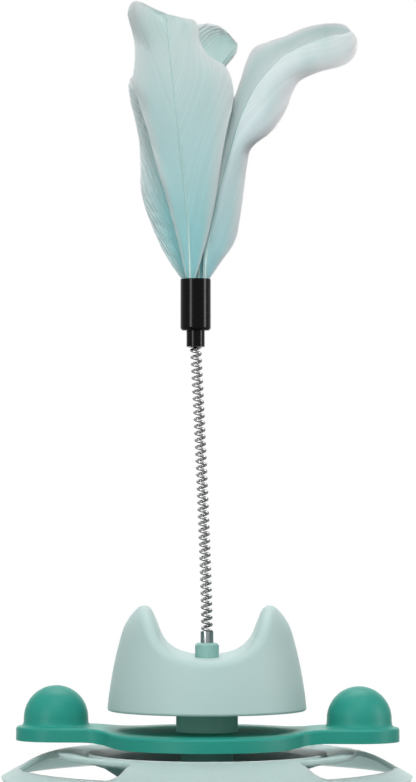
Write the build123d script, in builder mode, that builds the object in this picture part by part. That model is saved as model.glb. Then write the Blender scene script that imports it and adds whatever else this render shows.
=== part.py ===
from build123d import *

import os
from math import atan2, cos, pi, sin, sqrt

os.makedirs("parts", exist_ok=True)

# The tower stands on the XY plane with its axis on +Z. All lengths are in millimetres.
# A tier is a track tray with a ball in it, under a windowed cover. Tier 0 stands on the floor.

# Tower
tier_names = ("lower", "middle", "top")
tier_height = 47.0
tier_step = 20.0
top_cover_r = 85.5
wall = 2.0
ball_r = 19.5
ball_wall = 1.5
track_play = 3.5
ball_gap = 0.3
fit_gap = 0.2
stack_gap = 0.2
overrun = 5.0

# Covers
crest_inset = 26.3
crest_fall_r = 14.0
crest_fall = 3.4
edge_fall = 10.2
crest_turn_r = 4.0
crest_turn = 0.6
dish_r = 16.4
dish_fall = 4.5
hub_r = 23.9
hub_fall = 9.3
hub_end = 22.0
window_count = 3
window_in = 2.8
window_out = 19.0
window_corner = 5.0
window_angle = 58.5
front_pillar_angle = -86.4

# Trays
tray_inset = 1.5
tray_wall_height = 20.0
tray_corner = 4.0
tray_rim_width = 3.2
tray_rim_height = 1.6
inner_wall_height = 30.8
ledge_count = 6
ledge_length = 4.0
ledge_height = 3.0
ledge_width = 8.0
spigot_length = 14.0
ball_angles = (-50.0, -135.0, -86.4)

# Feet
foot_count = 6
foot_r = 8.0
foot_height = 2.0
foot_recess = 0.6
foot_inset = 14.0

# Spinner seat and spindle
seat_wall = 1.6
seat_inset = 9.0
seat_gap = 0.25
spindle_r = 6.0
spindle_flange_r = 10.5
spindle_flange = 2.0
spindle_stub_r = 4.0
spindle_tip_r = 4.5
spindle_chamfer = 0.6
washer_thick = 1.0
running_gap = 0.1
bearing_clearance = 0.05
screw_r = 1.5
screw_head_r = 3.2
screw_head = 2.0
screw_length = 9.0

# Spinner arm, measured up from the rim of the top cover
arm_yaw = 4.0
arm_lift = 2.4
arm_thick = 5.8
arm_disc_r = 45.5
arm_lobe_r = 16.7
arm_lobe_x = 63.4
arm_lobe_rise = 2.0
arm_bend_start = 28.0
arm_bend_end = 52.0
arm_waist = 10.0
arm_edge = 1.2
dome_r = 13.5
dome_skirt = 3.4
dome_flare = 2.0
dome_flare_height = 3.2
neck_r = 12.9
neck_top = 20.6
hub_low_r = 11.0
bush_r = 8.0
rib_count = 8
rib_thick = 1.2

# Cat-ear cap, measured up from the rim of the top cover
cap_low = 16.9
cap_r = 41.6
cap_wall = 2.2
cap_lean = 5.0
cap_shoulder_r = 35.7
cap_shoulder = 48.7
cap_ear_r = 26.5
cap_ear = 61.4
cap_crown = 68.6
cap_soft = 3.6
cap_foot = 1.0
saddle_low = 38.7
saddle_turn_x = 10.0
saddle_turn = 40.1
saddle_side_x = 19.8
saddle_side = 49.3
boss_r = 8.6
boss_web = 3.0
boss_counterbore_r = 4.6
cap_rib_count = 6
cap_rib_thick = 1.5
cap_rib_height = 7.0

# Spring collar and sleeve
collar_r = 5.0
collar_height = 6.2
collar_chamfer = 0.9
collar_stem = 3.0
sleeve_r = 2.75
sleeve_bore_r = 2.6
sleeve_height = 4.8
sleeve_depth = 4.0

# Spring and its lean
spring_r = 2.5
wire_r = 0.5
wire_sides = 4
spring_turns = 43
spring_hidden = 3.0
spring_length = 119.2
spring_lean = 4.8
lean_power = 1.3
samples_per_turn = 24

# Ferrule
ferrule_r = 6.5
ferrule_length = 21.8
ferrule_foot_r = 3.9
ferrule_foot = 6.8
ferrule_corner = 1.6
ferrule_wall = 1.1
ferrule_foot_bore_r = 3.0
ferrule_cut_angle = 14.0

# Feathers
feather_thick = 1.0
feather_height = 116.0
feather_camber_r = 75.0
feather_depth = 25.0
quill_r = 0.9
quill_sink = 9.0
quill_glue = 6.0
quill_clearance = 0.05
quill_spread = 2.7


def tier_cover_r(tier):
    return top_cover_r + tier_step * (len(tier_names) - 1 - tier)


def tier_rim(tier):
    return foot_height + tier_height * (tier + 1)


def tray_low(tier):
    return foot_height + tier_height * tier + stack_gap


def channel_out_r(tier):
    return tier_cover_r(tier) - tray_inset - wall


def channel_in_r(tier):
    return channel_out_r(tier) - 2 * ball_r - track_play


def crest_r(tier):
    return tier_cover_r(tier) - crest_inset


top = len(tier_names) - 1
rim = tier_rim(top)


def save(builder, name):
    builder.part.label = name
    export_step(builder.part, "parts/" + name + ".step")


# One cover window, pointing along +X: a curved slot with rounded corners
def window_sketch(tier):
    inner_r = crest_r(tier) + window_in
    outer_r = crest_r(tier) + window_out
    with BuildSketch() as window:
        with BuildLine():
            near = CenterArc((0, 0), inner_r, -window_angle / 2, window_angle)
            far = CenterArc((0, 0), outer_r, -window_angle / 2, window_angle)
            Line(near @ 0, far @ 0)
            Line(near @ 1, far @ 1)
        make_face()
        fillet(window.vertices(), radius=window_corner)
    return window.sketch


# Cover: a domed ring with windows, its crest, the dish inside the crest and the hub
def make_cover(tier):
    crest = crest_r(tier)
    height = tier_rim(tier)
    outer_r = tier_cover_r(tier)
    with BuildPart() as cover:
        with BuildSketch(Plane.XZ):
            with BuildLine():
                Line((outer_r, height - edge_fall), (crest + crest_fall_r, height - crest_fall))
                TangentArc(
                    (crest, height), (crest + crest_fall_r, height - crest_fall), tangent=(1, 0)
                )
                TangentArc(
                    (crest, height), (crest - crest_turn_r, height - crest_turn), tangent=(-1, 0)
                )
                Line((crest - crest_turn_r, height - crest_turn), (crest - dish_r, height - dish_fall))
                Line((crest - dish_r, height - dish_fall), (crest - hub_r, height - hub_fall))
                Line((crest - hub_r, height - hub_fall), (crest - hub_r, height - hub_end))
                offset(amount=wall, side=Side.LEFT)
            make_face()
        revolve(axis=Axis.Z)
        window = window_sketch(tier)
        turn = front_pillar_angle + 180 / window_count
        with BuildSketch(Plane.XY.offset(height)):
            with PolarLocations(0, window_count, start_angle=turn):
                add(window)
        extrude(amount=-(edge_fall + wall), mode=Mode.SUBTRACT)
    return cover


# Tray: the ball's channel between a low outer wall and a tall inner wall that holds the cover's hub
def make_tray(tier):
    low = tray_low(tier)
    outer_r = channel_out_r(tier) + wall
    inner_r = channel_in_r(tier) - wall
    ledge_top = tier_rim(tier) - hub_end
    with BuildPart() as tray:
        with BuildSketch(Plane.XZ):
            with BuildLine():
                Line((outer_r, low + tray_wall_height), (outer_r, low + tray_corner))
                Line((outer_r, low + tray_corner), (outer_r - tray_corner, low))
                Line((outer_r - tray_corner, low), (inner_r, low))
                Line((inner_r, low), (inner_r, low + inner_wall_height))
                offset(amount=wall, side=Side.RIGHT)
            make_face()
            with Locations((outer_r, low + tray_wall_height)):
                Rectangle(tray_rim_width, tray_rim_height, align=(Align.MAX, Align.MAX))
        revolve(axis=Axis.Z)
        with BuildSketch(Plane.XY.offset(ledge_top)):
            with PolarLocations(inner_r + wall / 2, ledge_count):
                Rectangle(ledge_length + wall / 2, ledge_width, align=(Align.MAX, Align.CENTER))
        extrude(amount=-ledge_height)
        if tier > 0:
            spigot_r = crest_r(tier - 1) - hub_r - fit_gap
            with BuildSketch(Plane.XY.offset(low)):
                Circle(spigot_r)
                Circle(spigot_r - wall, mode=Mode.SUBTRACT)
            extrude(amount=-spigot_length)
        else:
            with BuildSketch(Plane.XY.offset(low)):
                with PolarLocations(outer_r - foot_inset, foot_count):
                    Circle(foot_r + fit_gap)
            extrude(amount=foot_recess, mode=Mode.SUBTRACT)
    return tray


def make_ball(tier):
    orbit_r = (channel_in_r(tier) + channel_out_r(tier)) / 2
    centre = Vector(orbit_r, 0, tray_low(tier) + wall + ball_gap + ball_r)
    centre = centre.rotate(Axis.Z, ball_angles[tier])
    with BuildPart() as ball:
        with Locations(centre):
            Sphere(ball_r)
            Sphere(ball_r - ball_wall, mode=Mode.SUBTRACT)
    return ball


for tier, tier_name in enumerate(tier_names):
    cover = make_cover(tier)
    save(cover, tier_name + "_cover")
    tray = make_tray(tier)
    save(tray, tier_name + "_tray")
    ball = make_ball(tier)
    save(ball, tier_name + "_ball")

# Rubber feet, sunk a little into the lower tray
foot_top = tray_low(0) + foot_recess
with BuildPart() as feet:
    with BuildSketch():
        with PolarLocations(channel_out_r(0) + wall - foot_inset, foot_count):
            Circle(foot_r)
    extrude(amount=foot_top)
save(feet, "rubber_feet")

# Spinner seat: a dark dish in the top cover's crest, with a spigot in the hub
seat_r = crest_r(top) - seat_inset
dish_slope = (dish_fall - crest_turn) / (dish_r - crest_turn_r)
seat_edge_low = rim - crest_turn - dish_slope * (seat_inset - crest_turn_r) + seat_gap
seat_spigot_r = crest_r(top) - hub_r - fit_gap
seat_floor_low = rim - hub_fall + seat_gap
seat_floor_top = seat_floor_low + seat_wall
with BuildPart() as seat:
    with BuildSketch(Plane.XZ):
        with BuildLine():
            Line((seat_r, seat_edge_low), (crest_r(top) - dish_r, rim - dish_fall + seat_gap))
            Line((crest_r(top) - dish_r, rim - dish_fall + seat_gap), (seat_spigot_r, seat_floor_low))
            Line((seat_spigot_r, seat_floor_low), (0, seat_floor_low))
            offset(amount=seat_wall, side=Side.RIGHT)
        make_face()
    revolve(axis=Axis.Z)
    with BuildSketch(Plane.XY.offset(seat_floor_low)):
        Circle(seat_spigot_r)
        Circle(seat_spigot_r - seat_wall, mode=Mode.SUBTRACT)
    extrude(amount=-(spigot_length - hub_fall))
    with BuildSketch(Plane.XY.offset(seat_floor_low)):
        Circle(spindle_flange_r)
    extrude(amount=-spindle_flange)
    with BuildSketch(Plane.XY.offset(seat_floor_top)):
        Circle(spindle_stub_r + bearing_clearance)
    extrude(amount=-(seat_wall + spindle_flange), mode=Mode.SUBTRACT)
save(seat, "spinner_seat")

# Spindle: flange on the seat, stub through it, bearing length for the arm and a tip for the cap
stub_low = seat_floor_low - spindle_flange
flange_top = seat_floor_top + spindle_flange
spindle_shoulder = rim + neck_top + 2 * running_gap
boss_web_low = rim + saddle_low - cap_wall - collar_stem - screw_head - boss_web
with BuildPart() as spindle:
    with BuildSketch(Plane.XZ):
        with BuildLine():
            Polyline(
                (0, stub_low),
                (spindle_stub_r, stub_low),
                (spindle_stub_r, seat_floor_top),
                (spindle_flange_r, seat_floor_top),
                (spindle_flange_r, flange_top),
                (spindle_r, flange_top),
                (spindle_r, spindle_shoulder),
                (spindle_tip_r, spindle_shoulder),
                (spindle_tip_r, boss_web_low),
                (0, boss_web_low),
                close=True,
            )
        make_face()
    revolve(axis=Axis.Z)
    chamfer(spindle.edges().filter_by(GeomType.CIRCLE).sort_by(Axis.Z)[-1], length=spindle_chamfer)
    with BuildSketch(Plane.XY.offset(boss_web_low)):
        Circle(screw_r)
    extrude(amount=-screw_length, mode=Mode.SUBTRACT)
    with BuildSketch(Plane.XY.offset(stub_low)):
        Circle(screw_r)
    extrude(amount=screw_length, mode=Mode.SUBTRACT)
save(spindle, "spindle")

# Washer and screw under the seat that pull the spindle down
with BuildPart() as seat_washer:
    with BuildSketch(Plane.XY.offset(stub_low)):
        Circle(spindle_flange_r)
        Circle(screw_r, mode=Mode.SUBTRACT)
    extrude(amount=-washer_thick)
save(seat_washer, "seat_washer")

with BuildPart() as seat_screw:
    with BuildSketch(Plane.XY.offset(stub_low - washer_thick)):
        Circle(screw_head_r)
    extrude(amount=-screw_head)
    with BuildSketch(Plane.XY.offset(stub_low - washer_thick)):
        Circle(screw_r)
    extrude(amount=screw_length)
save(seat_screw, "seat_screw")

# Slippery washer that the arm turns on
with BuildPart() as thrust_washer:
    with BuildSketch(Plane.XY.offset(flange_top)):
        Circle(spindle_flange_r)
        Circle(spindle_r + bearing_clearance, mode=Mode.SUBTRACT)
    extrude(amount=washer_thick)
save(thrust_washer, "thrust_washer")

hub_low = flange_top + washer_thick + running_gap
with BuildPart() as hub_bush:
    with BuildSketch(Plane.XY.offset(hub_low)):
        Circle(bush_r)
        Circle(spindle_r + bearing_clearance, mode=Mode.SUBTRACT)
    extrude(amount=rim + neck_top - hub_low)
save(hub_bush, "hub_bush")

# Spinner arm: a moulded shell with two ball-shaped ends, open underneath, ribbed round its hub
arm_xy = Plane.XY.rotated((0, 0, -arm_yaw))
arm_xz = Plane.XZ.rotated((0, 0, -arm_yaw))
arm_low = rim + arm_lift
arm_top = arm_low + arm_thick
lobe_top = arm_top + arm_lobe_rise


# The arm's bend, from its middle out to its right end, lifted by a height
def arm_bend(height):
    middle_x = (arm_bend_start + arm_bend_end) / 2
    middle = (middle_x, height + arm_lobe_rise / 2)
    slope = 2 * atan2(arm_lobe_rise / 2, middle_x - arm_bend_start)
    end_x = arm_lobe_x + arm_lobe_r + overrun
    flat = Line((0, height), (arm_bend_start, height))
    lower = TangentArc(flat @ 1, middle, tangent=(1, 0))
    upper = TangentArc(lower @ 1, (arm_bend_end, height + arm_lobe_rise), tangent=(cos(slope), sin(slope)))
    return Line(upper @ 1, (end_x, height + arm_lobe_rise))


# The arm's plan, drawn in by an inset, between two bent surfaces
def arm_slab(inset, low, high):
    with BuildPart() as slab:
        with BuildSketch(arm_xy.offset(rim)) as plan:
            Circle(arm_disc_r)
            with Locations((arm_lobe_x, 0), (-arm_lobe_x, 0)):
                Circle(arm_lobe_r)
            Rectangle(2 * arm_lobe_x, 2 * arm_lobe_r)
            waist = [v for v in plan.vertices() if abs(v.X) < arm_disc_r and abs(v.Y) > arm_lobe_r / 2]
            fillet(waist, radius=arm_waist)
            if inset > 0:
                offset(amount=-inset, kind=Kind.INTERSECTION)
        extrude(amount=arm_lobe_x)
        with BuildSketch(arm_xz):
            with BuildLine():
                under = arm_bend(low)
                over = arm_bend(high)
                Line(under @ 1, over @ 1)
                mirror(about=Plane.YZ)
            make_face()
        extrude(amount=arm_disc_r + overrun, both=True, mode=Mode.INTERSECT)
    return slab


arm_body = arm_slab(0, arm_low, arm_top)
arm_hollow = arm_slab(wall, arm_low - overrun, arm_top - wall)

with BuildPart() as spinner_arm:
    add(arm_body.part)
    upper_edges = spinner_arm.edges().filter_by(lambda e: e.center().Z > arm_top - wall / 2)
    fillet(upper_edges, radius=arm_edge)
    add(arm_hollow.part, mode=Mode.SUBTRACT)
    with BuildSketch(arm_xy.offset(arm_top - wall)):
        with PolarLocations(0, rib_count):
            with Locations(((hub_low_r + arm_disc_r - wall) / 2, 0)):
                Rectangle(arm_disc_r - hub_low_r, rib_thick)
    extrude(amount=-(arm_thick - 2 * wall))
    for side in (1, -1):
        lobe_centre = arm_xy.from_local_coords((side * arm_lobe_x, 0, 0))
        lobe_plane = Plane((lobe_centre.X, lobe_centre.Y, lobe_top), x_dir=(1, 0, 0), z_dir=(0, -1, 0))
        with BuildSketch(lobe_plane):
            with BuildLine():
                flare_ends = ((dome_r + dome_flare, 0), (dome_r, dome_flare_height))
                flare = Spline(*flare_ends, tangents=((-1, 0), (0, 1)))
                skirt = Line(flare @ 1, (dome_r, dome_skirt))
                TangentArc(skirt @ 1, (0, dome_skirt + dome_r), tangent=(0, 1))
                below = (dome_r + dome_flare, -wall / 2)
                Polyline((0, dome_skirt + dome_r), (0, -wall / 2), below, flare @ 0)
            make_face()
        revolve(axis=Axis(lobe_plane.origin, (0, 0, 1)))
    for side in (1, -1):
        lobe_centre = arm_xy.from_local_coords((side * arm_lobe_x, 0, 0))
        lobe_plane = Plane((lobe_centre.X, lobe_centre.Y, lobe_top), x_dir=(1, 0, 0), z_dir=(0, -1, 0))
        with BuildSketch(lobe_plane):
            with BuildLine():
                bore = Line((dome_r - wall, -arm_thick), (dome_r - wall, dome_skirt))
                TangentArc(bore @ 1, (0, dome_skirt + dome_r - wall), tangent=(0, 1))
                Polyline((0, dome_skirt + dome_r - wall), (0, -arm_thick), bore @ 0)
            make_face()
        revolve(axis=Axis(lobe_plane.origin, (0, 0, 1)), mode=Mode.SUBTRACT)
    with BuildSketch(Plane.XY.offset(hub_low)):
        Circle(hub_low_r)
    extrude(amount=arm_top - hub_low - wall / 2)
    with BuildSketch(Plane.XY.offset(arm_top - wall / 2)):
        Circle(neck_r)
    extrude(amount=rim + neck_top - arm_top + wall / 2)
    with BuildSketch(Plane.XY.offset(hub_low)):
        Circle(bush_r)
    extrude(amount=rim + neck_top - hub_low, mode=Mode.SUBTRACT)
save(spinner_arm, "spinner_arm")

# Cat-ear cap: a body of revolution with a saddle cut through it from front to back
saddle_bottom = rim + saddle_low
turn_slope = 2 * atan2(saddle_turn - saddle_low, saddle_turn_x)
side_slope = 2 * atan2(saddle_side - saddle_turn, saddle_side_x - saddle_turn_x) - turn_slope


# A point of the saddle's curve, moved square to the curve into the body by an inset
def saddle_point(x, height, slope, inset):
    return (x + inset * sin(slope), rim + height - inset * cos(slope))


# The cap's outer form, or its hollow when drawn in by the wall
def cap_form(inset):
    lean = Vector(0, 1).rotate(Axis.Z, cap_lean)
    slant = inset / sqrt(2)
    with BuildPart() as form:
        with BuildSketch(Plane.XZ):
            with BuildLine():
                base = Line((0, rim + cap_low), (cap_r - inset, rim + cap_low))
                side = TangentArc(base @ 1, (cap_shoulder_r - inset, rim + cap_shoulder), tangent=lean)
                ear = (cap_ear_r - slant, rim + cap_ear - slant)
                shoulder = TangentArc(side @ 1, ear, tangent=side % 1)
                crown = TangentArc(shoulder @ 1, (0, rim + cap_crown - inset), tangent=shoulder % 1)
                Line(crown @ 1, base @ 0)
            make_face()
        revolve(axis=Axis.Z)
        with BuildSketch(Plane.XZ):
            with BuildLine():
                turn_start = saddle_point(saddle_turn_x, saddle_turn, turn_slope, inset)
                side_start = saddle_point(saddle_side_x, saddle_side, side_slope, inset)
                bottom = TangentArc((0, saddle_bottom - inset), turn_start, tangent=(1, 0))
                turn = TangentArc(bottom @ 1, side_start, tangent=bottom % 1)
                flare = Line(turn @ 1, turn @ 1 + turn % 1 * cap_crown)
                Line(flare @ 1, (0, (flare @ 1).Y))
                mirror(about=Plane.YZ)
            make_face()
        extrude(amount=cap_r + overrun, both=True, mode=Mode.SUBTRACT)
        fillet(form.edges().filter_by(GeomType.BSPLINE), radius=cap_soft - inset)
    return form


cap_outside = cap_form(0)
cap_hollow = cap_form(cap_wall)

with BuildPart() as cap:
    add(cap_outside.part)
    fillet(cap.faces().sort_by(Axis.Z)[0].edges(), radius=cap_foot)
    add(cap_hollow.part, mode=Mode.SUBTRACT)
    with BuildSketch(Plane.XY.offset(spindle_shoulder + running_gap)):
        Circle(boss_r)
    extrude(amount=saddle_bottom - cap_wall / 2 - spindle_shoulder - running_gap)
    with BuildSketch(Plane.XY.offset(spindle_shoulder + running_gap)):
        Circle(spindle_tip_r + bearing_clearance)
    extrude(amount=boss_web_low - spindle_shoulder - running_gap, mode=Mode.SUBTRACT)
    with BuildSketch(Plane.XY.offset(boss_web_low)):
        Circle(screw_r + fit_gap)
    extrude(amount=boss_web, mode=Mode.SUBTRACT)
    with BuildSketch(Plane.XY.offset(boss_web_low + boss_web)):
        Circle(boss_counterbore_r)
    extrude(amount=saddle_bottom - boss_web_low, mode=Mode.SUBTRACT)
    with BuildSketch(Plane.XY.offset(saddle_bottom)):
        Circle(collar_r + fit_gap)
    extrude(amount=cap_soft, mode=Mode.SUBTRACT)
    with BuildSketch(Plane.XY.offset(spindle_shoulder + running_gap)):
        with PolarLocations((boss_r - cap_rib_thick + cap_r - cap_wall) / 2, cap_rib_count):
            Rectangle(cap_r - cap_wall - boss_r + cap_rib_thick, cap_rib_thick)
    extrude(amount=cap_rib_height)
save(cap, "cat_ear_cap")

with BuildPart() as cap_screw:
    with BuildSketch(Plane.XY.offset(boss_web_low + boss_web)):
        Circle(screw_head_r)
    extrude(amount=screw_head)
    with BuildSketch(Plane.XY.offset(boss_web_low + boss_web)):
        Circle(screw_r)
    extrude(amount=-screw_length)
save(cap_screw, "cap_screw")

# Collar that plugs into the saddle, and the steel sleeve round the spring's foot
collar_top = saddle_bottom + collar_height
with BuildPart() as spring_collar:
    with BuildSketch(Plane.XY.offset(saddle_bottom)):
        Circle(collar_r)
    extrude(amount=collar_height)
    chamfer(spring_collar.edges().sort_by(Axis.Z)[-1], length=collar_chamfer)
    with BuildSketch(Plane.XY.offset(saddle_bottom)):
        Circle(boss_counterbore_r - fit_gap)
    extrude(amount=-collar_stem)
    with BuildSketch(Plane.XY.offset(collar_top)):
        Circle(sleeve_r)
    extrude(amount=-sleeve_depth, mode=Mode.SUBTRACT)
save(spring_collar, "spring_collar")

sleeve_top = collar_top + sleeve_height
with BuildPart() as spring_sleeve:
    with BuildSketch(Plane.XY.offset(collar_top - sleeve_depth)):
        Circle(sleeve_r)
        Circle(sleeve_bore_r, mode=Mode.SUBTRACT)
    extrude(amount=sleeve_depth + sleeve_height)
save(spring_sleeve, "spring_sleeve")

# Spring: one unbroken wire, wound left-handed, whose axis leans more and more towards the ferrule.
# Each half turn is a pair of arcs that share their tangents with a leaning helix.
spring_low = sleeve_top - spring_hidden
coil_r = spring_r - wire_r
coil_length = spring_length + 2 * spring_hidden
coil_pitch = coil_length / spring_turns


def lean_share(turns):
    return max(0, coil_pitch * turns - spring_hidden) / spring_length


def coil_point(turns):
    angle = 2 * pi * turns
    axis_x = -spring_lean * lean_share(turns) ** lean_power
    return Vector(axis_x + coil_r * cos(angle), -coil_r * sin(angle), spring_low + coil_pitch * turns)


def coil_tangent(turns):
    angle = 2 * pi * turns
    slope = -spring_lean * lean_power * lean_share(turns) ** (lean_power - 1) / spring_length
    around = 2 * pi * coil_r
    return Vector(slope * coil_pitch - around * sin(angle), -around * cos(angle), coil_pitch).normalized()


with BuildPart() as spring:
    with BuildLine() as coil:
        for half_turn in range(2 * spring_turns):
            start = coil_point(half_turn / 2)
            end = coil_point((half_turn + 1) / 2)
            start_way = coil_tangent(half_turn / 2)
            end_way = coil_tangent((half_turn + 1) / 2)
            chord = end - start
            ways = start_way + end_way
            spread = 2 * (1 - start_way.dot(end_way))
            reach = (sqrt(chord.dot(ways) ** 2 + spread * chord.dot(chord)) - chord.dot(ways)) / spread
            first_corner = start + start_way * reach
            last_corner = end - end_way * reach
            joint = (first_corner + last_corner) / 2
            TangentArc(start, joint, tangent=start_way)
            TangentArc(joint, end, tangent=joint - first_corner)
    with BuildSketch(Plane(coil.line @ 0, z_dir=coil.line % 0)):
        RegularPolygon(wire_r, wire_sides)
    sweep(path=coil.line, clean=False)
save(spring, "teaser_spring")

samples = [coil_point(n / samples_per_turn) for n in range(samples_per_turn * spring_turns + 1)]
half = samples_per_turn // 2
gap = min((b - a).length for n, a in enumerate(samples) for b in samples[n + half :])
print("least gap between the spring's turns", round(gap - 2 * wire_r, 2), "mm")

# Ferrule: crimped on the spring's top below, and holding the feathers' quills above
ferrule_low = sleeve_top + spring_length
mouth = ferrule_low + ferrule_foot + ferrule_length
ferrule_plane = Plane((-spring_lean, 0, ferrule_low), x_dir=(1, 0, 0), z_dir=(0, -1, 0))
ferrule_axis = Axis(ferrule_plane.origin, (0, 0, 1))
with BuildPart() as ferrule:
    with BuildSketch(ferrule_plane) as ferrule_section:
        with BuildLine():
            Polyline(
                (ferrule_foot_bore_r, 0),
                (ferrule_foot_r, 0),
                (ferrule_foot_r, ferrule_foot),
                (ferrule_r, ferrule_foot),
                (ferrule_r, ferrule_foot + ferrule_length),
                (ferrule_r - ferrule_wall, ferrule_foot + ferrule_length),
                (ferrule_r - ferrule_wall, mouth - quill_sink - ferrule_low - ferrule_wall),
                (ferrule_foot_bore_r, mouth - quill_sink - ferrule_low - ferrule_wall),
                close=True,
            )
        make_face()
        corner = ferrule_section.vertices().group_by(Axis.X)[-1].sort_by(Axis.Y)[0]
        fillet(corner, radius=ferrule_corner)
    revolve(axis=ferrule_axis)
    cut_plane = Plane.XY.rotated((0, ferrule_cut_angle, 0))
    cut_plane.origin = (-spring_lean - ferrule_foot_r, 0, ferrule_low)
    split(bisect_by=cut_plane)
save(ferrule, "ferrule")

# Feathers: thin cambered blades on quills. Outline points are shares of the feather's height,
# from the middle of the ferrule's mouth, up one edge and down the other.
broad_shares = (
    (-0.038, 0.003), (-0.114, 0.100), (-0.176, 0.240), (-0.205, 0.420), (-0.212, 0.545), (-0.241, 0.680),
    (-0.228, 0.860), (-0.240, 0.950), (-0.217, 1.000), (-0.114, 0.956), (0.000, 0.932), (0.101, 0.918),
    (0.153, 0.862), (0.112, 0.800), (0.136, 0.704), (0.121, 0.574), (0.092, 0.411), (0.049, 0.212),
    (0.010, 0.003),
)
back_shares = (
    (-0.030, 0.003), (-0.140, 0.170), (-0.200, 0.430), (-0.229, 0.720), (-0.215, 0.900), (-0.160, 0.940),
    (-0.070, 0.860), (0.000, 0.640), (0.022, 0.300), (0.012, 0.003),
)
curled_shares = (
    (0.030, 0.003), (0.146, 0.142), (0.171, 0.246), (0.184, 0.384), (0.195, 0.475), (0.302, 0.568),
    (0.358, 0.697), (0.415, 0.748), (0.530, 0.766), (0.583, 0.830), (0.566, 0.905), (0.489, 0.924),
    (0.385, 0.904), (0.247, 0.863), (0.208, 0.818), (0.178, 0.738), (0.142, 0.676), (0.114, 0.538),
    (0.074, 0.357), (0.034, 0.158), (0.012, 0.003),
)


# The point where a feather's quill stands in the mouth of the ferrule
def quill_point(shares, bend):
    return (-spring_lean + feather_height * (shares[0][0] + shares[-1][0]) / 2, bend * quill_spread)


# A blade bends towards the front (-1), towards the back (1) or stays flat (0)
def make_feather(shares, bend):
    points = [(x * feather_height, z * feather_height) for x, z in shares]
    blade_plane = Plane((-spring_lean, 0, mouth), x_dir=(1, 0, 0), z_dir=(0, -1, 0))
    with BuildPart() as feather:
        with BuildSketch(blade_plane):
            with BuildLine():
                edge = Spline(points)
                Line(edge @ 0, edge @ 1)
            make_face()
        if bend:
            extrude(amount=feather_depth, both=True)
            with BuildSketch(Plane.XY.offset(mouth)):
                with Locations((-spring_lean, bend * (quill_spread + feather_camber_r))):
                    Circle(feather_camber_r + feather_thick / 2)
                    Circle(feather_camber_r - feather_thick / 2, mode=Mode.SUBTRACT)
            extrude(amount=feather_height + overrun, mode=Mode.INTERSECT)
        else:
            extrude(amount=feather_thick / 2, both=True)
        with BuildSketch(Plane.XY.offset(mouth - quill_sink)):
            with Locations(quill_point(shares, bend)):
                Circle(quill_r)
        extrude(amount=quill_sink + overrun)
    return feather


feather_forms = {
    "broad_feather": (broad_shares, -1),
    "curled_feather": (curled_shares, 0),
    "back_feather": (back_shares, 1),
}
for name, (shares, bend) in feather_forms.items():
    feather = make_feather(shares, bend)
    save(feather, name)

# Plug of glue that holds the quills in the ferrule
plug_low = mouth - quill_sink - ferrule_wall
with BuildPart() as glue_plug:
    with BuildSketch(Plane.XY.offset(plug_low)):
        with Locations((-spring_lean, 0)):
            Circle(ferrule_r - ferrule_wall)
    extrude(amount=quill_glue)
    with BuildSketch(Plane.XY.offset(mouth - quill_sink)):
        with Locations([quill_point(shares, bend) for shares, bend in feather_forms.values()]):
            Circle(quill_r + quill_clearance)
    extrude(amount=quill_sink, mode=Mode.SUBTRACT)
save(glue_plug, "glue_plug")
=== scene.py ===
import math
import random

import bmesh
import bpy
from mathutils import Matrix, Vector


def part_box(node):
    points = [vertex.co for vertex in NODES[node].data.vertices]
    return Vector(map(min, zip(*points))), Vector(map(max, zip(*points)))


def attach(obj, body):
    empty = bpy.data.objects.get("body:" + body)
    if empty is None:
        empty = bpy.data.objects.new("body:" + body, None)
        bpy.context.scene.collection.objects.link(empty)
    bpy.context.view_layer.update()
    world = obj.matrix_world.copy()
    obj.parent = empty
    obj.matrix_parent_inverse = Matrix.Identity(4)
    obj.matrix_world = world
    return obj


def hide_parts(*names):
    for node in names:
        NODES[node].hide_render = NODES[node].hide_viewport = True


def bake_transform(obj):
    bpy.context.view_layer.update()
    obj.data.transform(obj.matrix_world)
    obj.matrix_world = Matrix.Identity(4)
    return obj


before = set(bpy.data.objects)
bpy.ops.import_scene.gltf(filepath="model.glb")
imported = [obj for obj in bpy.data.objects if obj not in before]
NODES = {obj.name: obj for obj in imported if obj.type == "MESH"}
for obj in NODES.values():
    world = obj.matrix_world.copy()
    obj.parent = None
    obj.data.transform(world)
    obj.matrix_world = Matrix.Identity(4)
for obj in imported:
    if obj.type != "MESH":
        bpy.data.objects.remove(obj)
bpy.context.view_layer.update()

MM = 0.001


def srgb(hex_value):
    """An sRGB hex colour as the linear RGBA that a shader socket takes."""
    shares = [int(hex_value[i:i + 2], 16) / 255 for i in (0, 2, 4)]
    linear = [s / 12.92 if s <= 0.04045 else ((s + 0.055) / 1.055) ** 2.4 for s in shares]
    return (*linear, 1.0)


def node(tree, kind, settings=None, links=None):
    """Adds a node. Settings name its sockets or its own properties, links name its sockets."""
    made = tree.nodes.new(kind)
    for name, value in (settings or {}).items():
        if isinstance(name, str) and hasattr(made, name):
            setattr(made, name, value)
        else:
            made.inputs[name].default_value = value
    for name, socket in (links or {}).items():
        tree.links.new(socket, made.inputs[name])
    return made


def new_material(name):
    """An empty material with its output, and the Object coordinates that its patterns read."""
    material = bpy.data.materials.new(name)
    material.use_nodes = True
    tree = material.node_tree
    tree.nodes.clear()
    output = node(tree, "ShaderNodeOutputMaterial")
    place = node(tree, "ShaderNodeTexCoord").outputs["Object"]
    return material, tree, output, place


def dress(material, *names):
    """Gives CAD nodes a material in their own slots."""
    for name in names:
        piece = NODES[name]
        if not piece.data.materials:
            piece.data.materials.append(material)
        for material_slot in piece.material_slots:
            material_slot.link = "OBJECT"
            material_slot.material = material


# Finishes

# Polished and etched mould steel leaves a grain of a few hundredths of a millimetre. It is drawn
# coarser, so that it shows.
GRAIN = 0.35 * MM
GRAIN_HEIGHT = 0.05 * MM
GRAIN_ROUGHNESS = 0.05
COLOUR_DRIFT = 40 * MM
ETCHED_ROUGHNESS = 0.85


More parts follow.
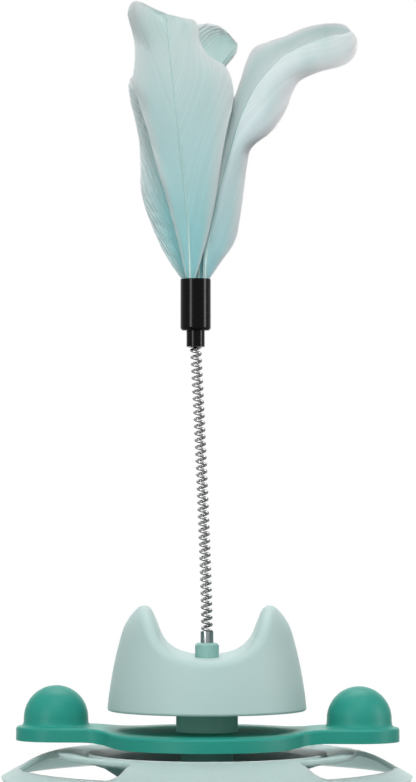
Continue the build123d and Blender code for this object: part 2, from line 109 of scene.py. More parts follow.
def moulded(name, colour, shade, roughness, grain, etched=(), **settings):
    """A moulded plastic: a slow drift of colour, and the fine grain that the mould's steel leaves.

    etched lists the zones round the tower's axis where the mould was etched matt, each as its radius,
    the width over which it fades out, and a paler colour, painted there as light that lifts the shade
    on that part. The first is the widest."""
    material, tree, output, place = new_material(name)
    drift = node(tree, "ShaderNodeTexNoise", {"Scale": 1 / COLOUR_DRIFT, "Detail": 2.0}, {"Vector": place})
    tint = node(
        tree,
        "ShaderNodeMix",
        {"data_type": "RGBA", 6: srgb(colour), 7: srgb(shade)},
        {0: drift.outputs["Fac"]},
    )
    fine = node(tree, "ShaderNodeTexNoise", {"Scale": 1 / GRAIN, "Detail": 3.0}, {"Vector": place})
    rough = node(
        tree,
        "ShaderNodeMapRange",
        {"To Min": roughness - GRAIN_ROUGHNESS, "To Max": roughness + GRAIN_ROUGHNESS},
        {"Value": fine.outputs["Fac"]},
    )
    if etched:
        level = node(
            tree, "ShaderNodeVectorMath", {"operation": "MULTIPLY", 1: (1.0, 1.0, 0.0)}, {0: place}
        )
        radius = node(tree, "ShaderNodeVectorMath", {"operation": "LENGTH"}, {0: level.outputs[0]})
        zones = [
            node(
                tree,
                "ShaderNodeMapRange",
                {"From Min": edge, "From Max": edge - fade, "To Max": 1.0},
                {"Value": radius.outputs["Value"]},
            ).outputs[0]
            for edge, fade, _ in etched
        ]
        # Painted light: each zone is drawn towards its paler colour, to lift the shade on it.
        for zone, (_, _, painted_lift_colour) in zip(zones, etched):
            tint = node(
                tree, "ShaderNodeMix", {"data_type": "RGBA", 7: srgb(painted_lift_colour)}, {0: zone, 6: tint.outputs[2]}
            )
        dull = node(tree, "ShaderNodeMath", {"operation": "MULTIPLY", 1: ETCHED_ROUGHNESS}, {0: zones[0]})
        rough = node(
            tree, "ShaderNodeMath", {"operation": "MAXIMUM"}, {0: rough.outputs[0], 1: dull.outputs[0]}
        )
    bump = node(
        tree,
        "ShaderNodeBump",
        {"Strength": grain, "Distance": GRAIN_HEIGHT},
        {"Height": fine.outputs["Fac"]},
    )
    shader = node(
        tree,
        "ShaderNodeBsdfPrincipled",
        settings,
        {"Base Color": tint.outputs[2], "Roughness": rough.outputs[0], "Normal": bump.outputs[0]},
    )
    tree.links.new(shader.outputs[0], output.inputs["Surface"])
    return material


# Polypropylene from a finely blasted mould: pale and satin, with wide soft highlights. It is milky, so
# that light from above glows through its thin walls and lifts the shade under them.
mint_polypropylene = moulded(
    "satin_mint_polypropylene",
    "A6C2BE",
    "A0BDB8",
    0.5,
    0.15,
    **{
        "IOR": 1.49,
        "Specular IOR Level": 0.1,
        "Subsurface Weight": 1.0,
        "Subsurface Radius": (1.0, 1.0, 1.0),
        "Subsurface Scale": 15 * MM,
    },
)
# ABS from a spark-eroded mould: an even matt that hides the finger marks on the cap.
mint_abs = moulded(
    "matt_mint_abs", "B0C9C6", "AAC4C1", 0.58, 0.3, **{"IOR": 1.53, "Specular IOR Level": 0.2}
)
# Soft thermoplastic elastomer, moulded and pushed in: a deeper mint, dull like rubber.
mint_elastomer = moulded(
    "dull_mint_elastomer", "93BCB5", "8DB6AF", 0.6, 0.3, **{"IOR": 1.5, "Specular IOR Level": 0.3}
)
# ABS from a lightly honed mould: deep teal, with a broad soft gleam on its domes and edges. The
# middle of the arm's disc and the neck come from an etched part of the mould and look matt. Both are
# drawn paler, the neck more so: painted light that lifts the shade they lie in under the cap.
teal_abs = moulded(
    "honed_teal_abs", "2C9586", "288F81", 0.46, 0.12, **{"IOR": 1.53, "Specular IOR Level": 0.1}
)
arm_abs = moulded(
    "honed_etched_teal_abs_painted_paler_in_shade",
    "2C9586",
    "288F81",
    0.46,
    0.12,
    # Painted light: a paler teal on the disc and a pale mint on the neck lift the cap's shade.
    ((46 * MM, 14 * MM, "2BA791"), (13.3 * MM, 0.1 * MM, "9ADACC")),
    **{"IOR": 1.53, "Specular IOR Level": 0.1},
)
# Thin blown polypropylene: hard, white and shiny.
ball_polypropylene = moulded("glossy_white_polypropylene", "EDF2ED", "E4ECE6", 0.18, 0.1, **{"IOR": 1.49})
# Cast nylon: waxy white.
nylon = moulded("waxy_white_nylon", "E6E4DC", "DEDCD2", 0.42, 0.1, **{"IOR": 1.53})
# Natural rubber with soot: dull and nearly black.
rubber = moulded("dull_black_rubber", "1C1C1C", "242424", 0.75, 0.4, **{"IOR": 1.52})
# Hard black plastic tube: glossy, so that it shows the lamps as upright lines.
black_sleeve = moulded(
    "glossy_black_abs", "040404", "060606", 0.18, 0.08, **{"IOR": 1.53, "Specular IOR Level": 0.08}
)
# Set hot glue: milky and soft.
glue = moulded("milky_hot_glue", "CFC8B4", "C4BDA9", 0.4, 0.2, **{"IOR": 1.48})


def drawn_steel(name, colour, roughness, line):
    """Steel with the lines of its drawing or turning, which run round it. line is their width, which is
    drawn coarser than real, so that they show."""
    material, tree, output, place = new_material(name)
    lengthways = node(tree, "ShaderNodeMapping", {"Scale": (1.0, 1.0, 8.0)}, {"Vector": place})
    lines = node(
        tree, "ShaderNodeTexNoise", {"Scale": 1 / line, "Detail": 2.0}, {"Vector": lengthways.outputs[0]}
    )
    rough = node(
        tree,
        "ShaderNodeMapRange",
        {"To Min": roughness - 0.08, "To Max": roughness + 0.08},
        {"Value": lines.outputs["Fac"]},
    )
    bump = node(
        tree, "ShaderNodeBump", {"Strength": 0.1, "Distance": 0.02 * MM}, {"Height": lines.outputs["Fac"]}
    )
    shader = node(
        tree,
        "ShaderNodeBsdfPrincipled",
        {"Base Color": srgb(colour), "Metallic": 1.0},
        {"Roughness": rough.outputs[0], "Normal": bump.outputs[0]},
    )
    tree.links.new(shader.outputs[0], output.inputs["Surface"])
    return material


# Cold-drawn spring steel: grey, with a soft shine along the wire.
spring_steel = drawn_steel("drawn_spring_steel", "868687", 0.3, 0.5 * MM)
# Turned and zinc-plated steel of screws and spindle: brighter and a little blue.
plated_steel = drawn_steel("zinc_plated_steel", "B4B8BC", 0.28, 0.4 * MM)
# The same steel rolled to a tube, drawn darker all over: painted shade for the dark reflections along it.
sleeve_steel_painted_darker = drawn_steel("rolled_tube_steel_painted_darker", "8C9092", 0.25, 0.4 * MM)

dress(mint_polypropylene, "top_cover", "middle_cover", "lower_cover", "spinner_seat")
dress(mint_abs, "cat_ear_cap")
dress(mint_elastomer, "spring_collar")
dress(teal_abs, "top_tray", "middle_tray", "lower_tray")
dress(arm_abs, "spinner_arm")
dress(ball_polypropylene, "top_ball", "middle_ball", "lower_ball")
dress(nylon, "hub_bush", "thrust_washer")
dress(rubber, "rubber_feet")
dress(black_sleeve, "ferrule")
dress(glue, "glue_plug")
dress(plated_steel, "spindle", "seat_washer", "seat_screw", "cap_screw")
dress(sleeve_steel_painted_darker, "spring_sleeve")

# Modelling helpers


def clear_selection():
    """Leaves edit mode, if need be, and deselects everything."""
    if bpy.context.object and bpy.context.object.mode != "OBJECT":
        bpy.ops.object.mode_set(mode="OBJECT")
    bpy.ops.object.select_all(action="DESELECT")


def take(piece):
    """Selects one object alone and makes it the one that operators act on."""
    clear_selection()
    piece.select_set(True)
    bpy.context.view_layer.objects.active = piece


def add_modifier(piece, kind, **settings):
    """Adds a modifier and applies it."""
    take(piece)
    modifier = piece.modifiers.new(kind, kind)
    for name, value in settings.items():
        setattr(modifier, name, value)
    bpy.ops.object.modifier_apply(modifier=modifier.name)


def settle(piece, name, material, body, smooth_angle=40):
    """Applies the place, smooths the faces, and puts the piece on its body with its finish."""
    take(piece)
    bpy.ops.object.transform_apply(location=True, rotation=True, scale=True)
    bpy.ops.object.shade_smooth_by_angle(angle=math.radians(smooth_angle))
    piece.name = piece.data.name = name
    piece.data.materials.clear()
    piece.data.materials.append(material)
    if body:
        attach(piece, body)
    return piece


# Teaser spring

SLEEVE_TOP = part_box("spring_sleeve")[1].z
FERRULE_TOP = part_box("ferrule")[1].z
SPRING_LENGTH = 119.2 * MM
SPRING_HIDDEN = 3.0 * MM
SPRING_LEAN = 4.8 * MM
LEAN_POWER = 1.3
SPRING_TURNS = 43
COIL_R = 1.86 * MM
WIRE_R = 0.7 * MM
COIL_STEPS = 20
COIL_PITCH = (SPRING_LENGTH + 2 * SPRING_HIDDEN) / SPRING_TURNS
SPRING_LOW = SLEEVE_TOP - SPRING_HIDDEN


def lean(height):
    """How far the spring's axis stands to the left at a height above the sleeve."""
    return -SPRING_LEAN * max(0.0, height / SPRING_LENGTH) ** LEAN_POWER


def wind(first_turn, turns):
    """A round wire wound a number of times, then leant over as the spring leans."""
    clear_selection()
    bpy.ops.mesh.primitive_circle_add(
        vertices=10,
        radius=WIRE_R,
        fill_type="NOTHING",
        location=(COIL_R, 0, SPRING_LOW + first_turn * COIL_PITCH),
        rotation=(math.radians(90), 0, 0),
    )
    coil = bpy.context.object
    bpy.ops.object.transform_apply(location=True, rotation=True, scale=True)
    add_modifier(
        coil,
        "SCREW",
        axis="Z",
        angle=math.radians(-360),
        steps=COIL_STEPS,
        render_steps=COIL_STEPS,
        screw_offset=COIL_PITCH,
        iterations=turns,
        use_normal_calculate=True,
    )
    take(coil)
    bpy.ops.object.mode_set(mode="EDIT")
    bpy.ops.mesh.select_all(action="SELECT")
    bpy.ops.mesh.remove_doubles(threshold=0.01 * MM)
    bpy.ops.mesh.select_all(action="DESELECT")
    bpy.ops.mesh.select_non_manifold()
    bpy.ops.mesh.fill()
    bpy.ops.mesh.select_all(action="SELECT")
    bpy.ops.mesh.normals_make_consistent(inside=False)
    bpy.ops.object.mode_set(mode="OBJECT")
    for vertex in coil.data.vertices:
        vertex.co.x += lean(vertex.co.z - SLEEVE_TOP)
    return coil


# The coil is two pieces, because it bends at two joints: sideways below, to and fro above.
TURNS_BELOW = 17
lower_coil = settle(wind(0, TURNS_BELOW), "teaser_spring_lower", spring_steel, None)
upper_coil = settle(
    wind(TURNS_BELOW, SPRING_TURNS - TURNS_BELOW), "teaser_spring_upper", spring_steel, None
)


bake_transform(lower_coil)
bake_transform(upper_coil)
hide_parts("teaser_spring")

# Feathers

FEATHER_HEIGHT = 116.0 * MM
MOUTH = Vector((-SPRING_LEAN, 0, FERRULE_TOP))
# Heights above the ferrule at which a vane's colour goes from root to middle, and from there to top.
ROOT_ZONE = (0 * MM, 42 * MM)
TOP_ZONE = (42 * MM, 105 * MM)
DYE_PATCH = 9 * MM
# The share of the light that goes through a vane.
LET_THROUGH = 0.42


def vane_material(name, root, middle, top, rim, fold):
    """Dyed goose feather: thin keratin that lets light through, deepest in colour at the root."""
    material, tree, output, place = new_material(name)
    across, strand, painted_curl_shade = (
        node(tree, "ShaderNodeAttribute", {"attribute_name": layer}).outputs["Fac"]
        for layer in ("across", "strand", "painted_curl_shade")
    )
    height = node(tree, "ShaderNodeSeparateXYZ", None, {"Vector": place}).outputs["Z"]
    low, high = (
        node(
            tree,
            "ShaderNodeMapRange",
            {"From Min": FERRULE_TOP + start, "From Max": FERRULE_TOP + end},
            {"Value": height},
        ).outputs[0]
        for start, end in (ROOT_ZONE, TOP_ZONE)
    )
    body = node(tree, "ShaderNodeMix", {"data_type": "RGBA", 6: srgb(root), 7: srgb(middle)}, {0: low})
    upper = node(tree, "ShaderNodeMix", {"data_type": "RGBA", 7: srgb(top)}, {0: high, 6: body.outputs[2]})
    # The dye takes unevenly, in cloudy patches that are stretched upwards.
    stretched = node(tree, "ShaderNodeMapping", {"Scale": (1.0, 1.0, 0.3)}, {"Vector": place})
    cloud = node(
        tree,
        "ShaderNodeTexNoise",
        {"Scale": 1 / DYE_PATCH, "Detail": 2.0},
        {"Vector": stretched.outputs[0]},
    )
    deeper = node(
        tree,
        "ShaderNodeMapRange",
        {"From Min": 0.45, "From Max": 0.75, "To Max": 0.35},
        {"Value": cloud.outputs["Fac"]},
    )
    patched = node(
        tree,
        "ShaderNodeMix",
        {"data_type": "RGBA", 7: srgb(fold)},
        {0: deeper.outputs[0], 6: upper.outputs[2]},
    )
    # Painted shade: where the vane curls over, it is drawn towards the deeper fold colour.
    curl_shaded = node(
        tree, "ShaderNodeMix", {"data_type": "RGBA", 7: srgb(fold)}, {0: painted_curl_shade, 6: patched.outputs[2]}
    )
    paling = node(
        tree, "ShaderNodeMapRange", {"From Min": 0.6, "From Max": 1.0, "To Max": 0.85}, {"Value": across}
    )
    tint = node(
        tree,
        "ShaderNodeMix",
        {"data_type": "RGBA", 7: srgb(rim)},
        {0: paling.outputs[0], 6: curl_shaded.outputs[2]},
    )
    uneven = node(tree, "ShaderNodeMapRange", {"To Min": 0.95, "To Max": 1.04}, {"Value": strand})
    shown = node(
        tree, "ShaderNodeHueSaturation", None, {"Color": tint.outputs[2], "Value": uneven.outputs[0]}
    )
    face = node(
        tree,
        "ShaderNodeBsdfPrincipled",
        {
            "Roughness": 0.6,
            "IOR": 1.54,
            "Sheen Weight": 0.1,
            "Sheen Roughness": 0.5,
            "Specular IOR Level": 0.2,
        },
        {"Base Color": shown.outputs[0]},
    )
    through = node(tree, "ShaderNodeBsdfTranslucent", None, {"Color": shown.outputs[0]})
    both = node(tree, "ShaderNodeMixShader", {0: LET_THROUGH}, {1: face.outputs[0], 2: through.outputs[0]})
    tree.links.new(both.outputs[0], output.inputs["Surface"])
    return material


def quill_material():
    """Keratin of the quill: creamy and a little shiny at the foot, taking the dye further up."""
    material, tree, output, place = new_material("dyed_quill_keratin")
    height = node(tree, "ShaderNodeSeparateXYZ", None, {"Vector": place})
    rise = node(
        tree,
        "ShaderNodeMapRange",
        {"From Min": FERRULE_TOP, "From Max": FERRULE_TOP + 28 * MM},
        {"Value": height.outputs["Z"]},
    )
    tint = node(
        tree,
        "ShaderNodeMix",
        {"data_type": "RGBA", 6: srgb("C3DAD5"), 7: srgb("9DC0BB")},
        {0: rise.outputs[0]},
    )
    fine = node(tree, "ShaderNodeTexNoise", {"Scale": 1 / (0.6 * MM), "Detail": 2.0}, {"Vector": place})
    bump = node(
        tree, "ShaderNodeBump", {"Strength": 0.2, "Distance": 0.05 * MM}, {"Height": fine.outputs["Fac"]}
    )
    shader = node(
        tree,
        "ShaderNodeBsdfPrincipled",
        {"Roughness": 0.4, "IOR": 1.54, "Specular IOR Level": 0.3},
        {"Base Color": tint.outputs[2], "Normal": bump.outputs[0]},
    )
    tree.links.new(shader.outputs[0], output.inputs["Surface"])
    return material


# The fold colour is the deeper tone of the dye's patches, and also the painted shade where a vane curls.
feather_keratin = vane_material("dyed_goose_feather", "ACE6E9", "D1ECED", "E2ECEB", "EAEDED", "C6E3DF")
# A feather that took less dye, and pales sooner to its own grey-white.
pale_keratin = vane_material("pale_dyed_goose_feather", "BDE6E9", "DEEAEC", "E6ECEC", "EEECED", "C2DEDA")
quill_keratin = quill_material()


def smooth_way(points, samples):
    """Points along a smooth line through the given ones, which are (x, y, z) in shares and millimetres."""
    rows = []
    last = len(points) - 1
    for n in range(samples + 1):
        at = n / samples * last
        k = min(int(at), last - 1)
        t = at - k
        a, b, c, d = (Vector(points[min(max(k + i, 0), last)]) for i in (-1, 0, 1, 2))
        squared = 2 * a - 5 * b + 4 * c - d
        cubed = 3 * b - a - 3 * c + d
        rows.append(0.5 * (2 * b + (c - a) * t + squared * t**2 + cubed * t**3))
    return rows


def placed(point):
    """A feather's own point, x and z in shares of its height and y in millimetres, in the frame."""
    return MOUTH + Vector((point[0] * FEATHER_HEIGHT, point[1] * MM, point[2] * FEATHER_HEIGHT))


# Barbs are drawn twice as coarse as real ones, so that they just show in the picture. Each overlaps
# the next like a roof tile: it is a little more than one spacing wide, and tilted.
BARBS = 220
BARB_STEPS = 12
BARB_THICK = 0.1 * MM
BARB_TILT = 0.06 * MM
BARB_HALF = 0.62
# A barb bows upwards, so that its tip lies this many spacings above its root, and tapers at its end.
BARB_SLANT = 0.34 * BARBS
BARB_BOW = 1.15
TIP_START = 0.9
TIP_TAPER = 0.6
# Barbs cling together in clumps of about this many, and end a little short of the vane's edge.
CLUMP = 24
CLUMP_SPREAD = 9
CLUMP_LEAST = 8
CLUMP_PULL = 0.04
SHORTFALL = 0.008
# Where a vane curls over, it is drawn a shade deeper, towards its fold colour: painted shade in the curl.
CURL_SHADE_STRENGTH = 0.35
CURL_SHADE_ONSET = 0.08


def vane(name, quill, edge, crown, waves, fold, seed):
    """One side of a feather: barbs that slant up from the quill, lie against each other and thin out.

    quill and edge are lines of as many stations. crown is how far the vane swells, in millimetres. waves
    are (depth in millimetres, waves along the vane) and fold is the share of the length where it curls,
    past which it is painted a shade deeper."""
    chance = random.Random(seed)
    roots = [placed(p) for p in smooth_way(quill, BARBS)]
    tips = [placed(p) for p in smooth_way(edge, BARBS)]

    def point(row, u):
        row = min(max(row, 0), BARBS)
        k = min(int(row), BARBS - 1)
        place = roots[k].lerp(roots[k + 1], row - k).lerp(tips[k].lerp(tips[k + 1], row - k), u)
        along = row / BARBS
        place.y += crown * MM * math.sin(math.pi * u) * math.sin(math.pi * along)
        # The waves die away towards the foot and the tip of the vane.
        window = min(1.0, 6 * along, 8 * (1 - along))
        for depth, count in waves:
            place.y += depth * MM * u**2 * math.sin(math.tau * count * along) * window
        return place

    mesh = bpy.data.meshes.new(name)
    build = bmesh.new()
    layers = [build.verts.layers.float.new(layer) for layer in ("across", "strand", "painted_curl_shade")]
    clump_end, clump_middle, pull, short = -BARB_SLANT, 0.0, 0.0, 0.0
    for barb in range(-round(BARB_SLANT), BARBS):
        if barb >= clump_end:
            size = max(CLUMP_LEAST, round(chance.gauss(CLUMP, CLUMP_SPREAD)))
            clump_middle = barb + size / 2
            clump_end = barb + size
            pull = chance.uniform(0.0, CLUMP_PULL)
            short = chance.uniform(0.0, SHORTFALL)
        tone = chance.random()
        own_short = short + chance.uniform(0, SHORTFALL)
        previous = None
        for step in range(BARB_STEPS + 1):
            u = step / BARB_STEPS
            reach = u * (1 - own_short)
            drawn = pull * reach**3
            taper = 1.0 if u < TIP_START else 1 - TIP_TAPER * ((u - TIP_START) / (1 - TIP_START)) ** 1.5
            rise = BARB_SLANT * reach**BARB_BOW
            low = barb + 0.5 - BARB_HALF * taper
            high = barb + 0.5 + BARB_HALF * taper
            low += (clump_middle - low) * drawn
            high += (clump_middle - high) * drawn
            a, b = point(low + rise, reach), point(high + rise, reach)
            b.y -= BARB_TILT
            a.y += BARB_TILT
            # How far past its fold a barb lies, which sets the painted shade of the curl.
            curl = min(max(((barb + rise) / BARBS - fold) / CURL_SHADE_ONSET, 0.0), 1.0)
            pair = [build.verts.new(a), build.verts.new(b)]
            for vertex in pair:
                for layer, value in zip(layers, (u, tone, CURL_SHADE_STRENGTH * curl * min(1.0, 2 * u))):
                    vertex[layer] = value
            if previous:
                build.faces.new((previous[0], pair[0], pair[1], previous[1]))
            previous = pair
    build.to_mesh(mesh)
    build.free()
    piece = bpy.data.objects.new(name, mesh)
    bpy.context.scene.collection.objects.link(piece)
    add_modifier(piece, "SOLIDIFY", thickness=BARB_THICK, offset=0.0)
    take(piece)
    bpy.ops.object.mode_set(mode="EDIT")
    bpy.ops.mesh.select_all(action="SELECT")
    bpy.ops.mesh.normals_make_consistent(inside=False)
    bpy.ops.object.mode_set(mode="OBJECT")
    return piece


def quill_rod(name, quill, foot_r, tip_r):
    """The quill: a tapered rod along its line, from inside the ferrule to the feather's tip."""
    ways = [placed(p) for p in quill]
    ways.insert(0, ways[0] - Vector((0, 0, 8 * MM)))
    data = bpy.data.curves.new(name, "CURVE")
    data.dimensions = "3D"
    line = data.splines.new("NURBS")
    line.points.add(len(ways) - 1)
    for n, (control, way) in enumerate(zip(line.points, ways)):
        control.co = (*way, 1.0)
        control.radius = foot_r + (tip_r - foot_r) * n / (len(ways) - 1)
    line.order_u = 3
    line.use_endpoint_u = True
    line.resolution_u = 6
    data.bevel_depth = MM
    data.bevel_resolution = 3
    data.use_fill_caps = True
    rod = bpy.data.objects.new(name, data)
    bpy.context.scene.collection.objects.link(rod)
    take(rod)
    bpy.ops.object.convert(target="MESH")
    return bpy.context.object


# Stations from the mouth of the ferrule to the tip: x, depth in millimetres and height. x and height
# are shares of the feathers' height, and a depth below zero is nearer to the eye.
FEATHERS = {
    "broad_feather": {
        "quill": [
            (-0.020, -2.0, 0.000), (-0.022, -2.2, 0.080), (-0.027, -2.8, 0.188), (-0.038, -3.6, 0.296),
            (-0.049, -4.5, 0.404), (-0.060, -5.4, 0.502), (-0.070, -6.0, 0.596), (-0.081, -6.2, 0.690),
            (-0.090, -6.0, 0.776), (-0.099, -5.4, 0.856), (-0.103, -4.9, 0.908), (-0.106, -4.2, 0.944),
            (-0.106, -3.8, 0.970),
        ],
        "left": [
            (-0.034, -1.8, 0.000), (-0.067, -2.2, 0.152), (-0.106, -2.8, 0.296), (-0.146, -3.2, 0.430),
            (-0.175, -3.6, 0.542), (-0.208, -3.4, 0.646), (-0.229, -3.0, 0.729), (-0.222, -3.4, 0.820),
            (-0.230, -4.0, 0.893), (-0.248, -7.6, 0.968), (-0.220, -10.6, 1.006), (-0.164, -7.4, 0.990),
            (-0.108, -4.0, 0.972),
        ],
        "right": [
            (-0.002, -1.8, 0.000), (0.038, -2.0, 0.134), (0.070, -2.4, 0.278), (0.092, -2.6, 0.422),
            (0.114, -2.4, 0.538), (0.138, -2.0, 0.650), (0.136, -2.2, 0.715), (0.112, -2.6, 0.778),
            (0.048, -3.4, 0.818), (0.016, -3.8, 0.872), (0.004, -3.8, 0.942), (-0.050, -3.8, 0.958),
            (-0.106, -3.8, 0.970),
        ],
        "crown": (-2.2, -2.6),
        "waves": (((0.9, 3.2), (0.35, 7.5)), ((0.7, 2.6),)),
        "folds": (0.9, 1.2),
        "quill_r": (0.5, 0.1),
        "finish": feather_keratin,
    },
    "back_feather": {
        "quill": [
            (0.009, 2.2, 0.000), (0.013, 2.4, 0.069), (0.016, 3.0, 0.152), (0.020, 3.8, 0.242),
            (0.027, 4.4, 0.336), (0.034, 4.6, 0.430), (0.042, 4.6, 0.524), (0.052, 4.6, 0.610),
            (0.063, 4.9, 0.690), (0.074, 5.3, 0.748), (0.092, 5.9, 0.796), (0.122, 6.6, 0.840),
            (0.152, 7.0, 0.870),
        ],
        "left": [
            (-0.049, 2.2, 0.000), (-0.114, 2.6, 0.098), (-0.172, 3.0, 0.231), (-0.200, 3.4, 0.325),
            (-0.204, 3.8, 0.422), (-0.208, 4.0, 0.513), (-0.226, 4.0, 0.603), (-0.244, 3.8, 0.675),
            (-0.236, 4.2, 0.755), (-0.100, 6.0, 0.890), (0.010, 7.2, 0.954), (0.092, 7.6, 0.946),
            (0.154, 7.2, 0.880),
        ],
        "right": [
            (0.023, 2.2, 0.000), (0.049, 2.4, 0.054), (0.081, 3.0, 0.134), (0.106, 3.6, 0.224),
            (0.125, 4.2, 0.321), (0.135, 4.2, 0.422), (0.139, 3.8, 0.531), (0.143, 3.4, 0.621),
            (0.139, 3.4, 0.690), (0.110, 4.0, 0.782), (0.128, 4.8, 0.812), (0.148, 6.0, 0.842),
            (0.155, 6.8, 0.874),
        ],
        "crown": (2.4, 1.6),
        "waves": (((0.6, 2.5), (0.7, 24.0)), ((0.5, 3.0), (0.7, 20.0))),
        "folds": (0.74, 0.8),
        "quill_r": (0.5, 0.12),
        "finish": feather_keratin,
    },
    "curled_feather": {
        "quill": [
            (0.034, 0.0, 0.000), (0.036, 0.0, 0.054), (0.045, 0.3, 0.134), (0.063, 0.8, 0.227),
            (0.081, 1.4, 0.314), (0.103, 2.0, 0.394), (0.125, 2.6, 0.469), (0.150, 3.2, 0.563),
            (0.179, 3.6, 0.639), (0.215, 3.6, 0.708), (0.258, 3.2, 0.765), (0.312, 2.4, 0.820),
            (0.374, 1.2, 0.856), (0.432, 0.0, 0.877), (0.482, -1.0, 0.892), (0.530, -1.8, 0.899),
            (0.566, -2.2, 0.908),
        ],
        "left": [
            (0.027, 0.2, 0.000), (0.031, 0.4, 0.134), (0.042, 1.2, 0.188), (0.056, 2.2, 0.296),
            (0.070, 3.2, 0.394), (0.088, 4.2, 0.487), (0.110, 5.0, 0.574), (0.137, 5.6, 0.664),
            (0.164, 6.0, 0.742), (0.186, 6.2, 0.812), (0.212, 6.2, 0.862), (0.262, 6.0, 0.886),
            (0.330, 5.2, 0.908), (0.402, 3.8, 0.936), (0.482, 1.8, 0.946), (0.544, 0.0, 0.938),
            (0.566, -2.0, 0.912),
        ],
        "right": [
            (0.049, 0.2, 0.000), (0.092, 0.2, 0.065), (0.144, 0.4, 0.141), (0.164, 0.6, 0.235),
            (0.179, 0.8, 0.343), (0.190, 1.0, 0.430), (0.208, 0.8, 0.491), (0.280, 0.2, 0.545),
            (0.330, -0.8, 0.617), (0.356, -1.8, 0.686), (0.385, -3.0, 0.729), (0.446, -4.2, 0.755),
            (0.536, -5.4, 0.776), (0.580, -6.0, 0.812), (0.590, -5.6, 0.866), (0.580, -4.0, 0.896),
            (0.567, -2.4, 0.908),
        ],
        "crown": (-1.6, -3.0),
        "waves": (((0.5, 3.0),), ((1.0, 3.4), (0.35, 8.0))),
        "folds": (0.3, 1.2),
        "quill_r": (0.5, 0.1),
        "finish": pale_keratin,
    },
}

for number, (name, form) in enumerate(FEATHERS.items()):
    for side, crown, waves, fold in zip(("left", "right"), form["crown"], form["waves"], form["folds"]):
        seed = 10 * number + len(side)
        barbs = vane(f"{name}_{side}", form["quill"], form[side], crown, waves, fold, seed)
        settle(barbs, f"{name}_{side}_vane", form["finish"], "teaser_head", 30)
        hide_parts(name)
    rod = quill_rod(f"{name}_quill", form["quill"], *form["quill_r"])
    settle(rod, f"{name}_quill", quill_keratin, "teaser_head", 60)


# Floor, lamps, world and camera

FLOOR_R = 0.9
PAPER_TO = 0.3
WHITE_FROM = 0.95 * FLOOR_R


def floor_material():
    """Pale paper that keeps the tower's shadow near its foot and fades into the white behind it."""
    material, tree, output, place = new_material("pale_paper_floor")
    spread = node(tree, "ShaderNodeVectorMath", {"operation": "LENGTH"}, {0: place})
    far = node(
        tree,
        "ShaderNodeMapRange",
        {"From Min": PAPER_TO, "From Max": WHITE_FROM},
        {"Value": spread.outputs["Value"]},
    )
    path = node(tree, "ShaderNodeLightPath")
    seen = node(
        tree,
        "ShaderNodeMath",
        {"operation": "MAXIMUM"},
        {0: path.outputs["Is Camera Ray"], 1: path.outputs["Is Glossy Ray"]},
    )
    amount = node(
        tree, "ShaderNodeMath", {"operation": "MULTIPLY"}, {0: far.outputs[0], 1: seen.outputs[0]}
    )
    paper = node(tree, "ShaderNodeBsdfDiffuse", {"Color": srgb("D4D4D4")})
    white = node(tree, "ShaderNodeEmission", {"Color": (1.0, 1.0, 1.0, 1.0), "Strength": 1.0})
    both = node(
        tree, "ShaderNodeMixShader", None, {0: amount.outputs[0], 1: paper.outputs[0], 2: white.outputs[0]}
    )
    tree.links.new(both.outputs[0], output.inputs["Surface"])
    return material


clear_selection()
bpy.ops.mesh.primitive_circle_add(vertices=96, radius=FLOOR_R, fill_type="NGON", location=(0, 0, 0))
floor = bpy.context.object
floor.name = "floor"
floor.data.materials.append(floor_material())

world = bpy.data.worlds.new("white_studio")
bpy.context.scene.world = world
world.use_nodes = True
sky = world.node_tree
sky.nodes.clear()
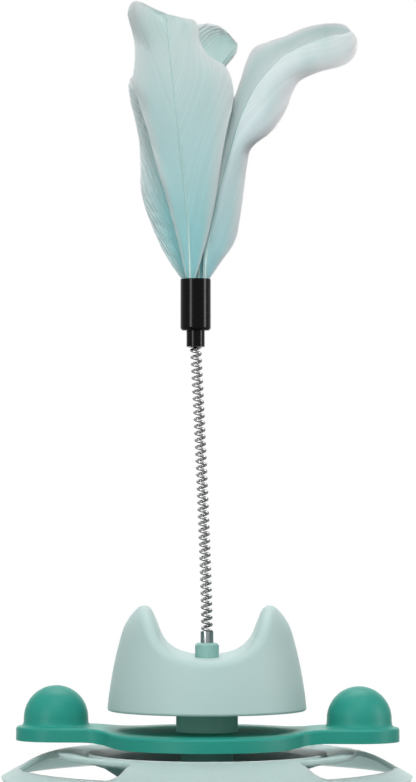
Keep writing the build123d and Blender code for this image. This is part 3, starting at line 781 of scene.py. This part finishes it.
# The white studio is seen by the eye and in gloss. What lights the object is the dimmer one.
ray = node(sky, "ShaderNodeLightPath")
mirrored = node(
    sky,
    "ShaderNodeMath",
    {"operation": "MAXIMUM"},
    {0: ray.outputs["Is Glossy Ray"], 1: ray.outputs["Is Transmission Ray"]},
)
shown = node(
    sky,
    "ShaderNodeMath",
    {"operation": "MAXIMUM"},
    {0: ray.outputs["Is Camera Ray"], 1: mirrored.outputs[0]},
)
soft = node(sky, "ShaderNodeBackground", {"Color": (1.0, 1.0, 1.0, 1.0), "Strength": 0.39})
plain = node(sky, "ShaderNodeBackground", {"Color": (1.0, 1.0, 1.0, 1.0), "Strength": 1.0})
either = node(
    sky, "ShaderNodeMixShader", None, {0: shown.outputs[0], 1: soft.outputs[0], 2: plain.outputs[0]}
)
node(sky, "ShaderNodeOutputWorld", None, {"Surface": either.outputs[0]})


LAMPS_AIM = Vector((0.0, 0.0, 0.25))


def lamp(name, place, size, power, mirrored_only=False):
    """A soft box that looks at the cap. A mirrored one shows in gloss alone, as a thin strip would."""
    data = bpy.data.lights.new(name, "AREA")
    data.shape = "RECTANGLE"
    data.size, data.size_y = size
    data.energy = power
    made = bpy.data.objects.new(name, data)
    made.location = place
    made.rotation_euler = (LAMPS_AIM - Vector(place)).to_track_quat("-Z", "Y").to_euler()
    made.visible_diffuse = not mirrored_only
    made.visible_camera = False
    bpy.context.scene.collection.objects.link(made)


lamp("high_box", (0.0, -0.95, 1.47), (1.1, 0.9), 18.3)
lamp("left_box", (-0.8, -1.0, 0.45), (0.4, 0.8), 1.5)
lamp("right_box", (1.15, -0.35, 0.5), (0.4, 0.8), 0.6)
lamp("back_box", (0.0, 1.3, 0.6), (2.0, 1.6), 11.5)
lamp("left_strip", (-0.8, -1.1, 0.4), (0.3, 1.0), 14.0, True)
lamp("right_strip", (1.15, -0.3, 0.4), (0.3, 1.0), 16.0, True)
lamp("top_strip", (0.0, 0.45, 1.35), (0.9, 0.3), 16.0, True)

EYE_ASIDE = 0.42 * MM
EYE_HEIGHT = 226.6 * MM
EYE_DISTANCE = 1.05
EYE_PITCH = 3.64
EYE_LENS = 115.1
camera_data = bpy.data.cameras.new("eye")
camera_data.sensor_fit = "AUTO"
camera_data.sensor_width = 36.0
camera_data.lens = EYE_LENS
camera = bpy.data.objects.new("eye", camera_data)
camera.location = (EYE_ASIDE, -EYE_DISTANCE, EYE_HEIGHT)
camera.rotation_euler = (math.radians(90 + EYE_PITCH), 0, 0)
bpy.context.scene.collection.objects.link(camera)
bpy.context.scene.camera = camera
bpy.context.scene.view_settings.view_transform = "Standard"
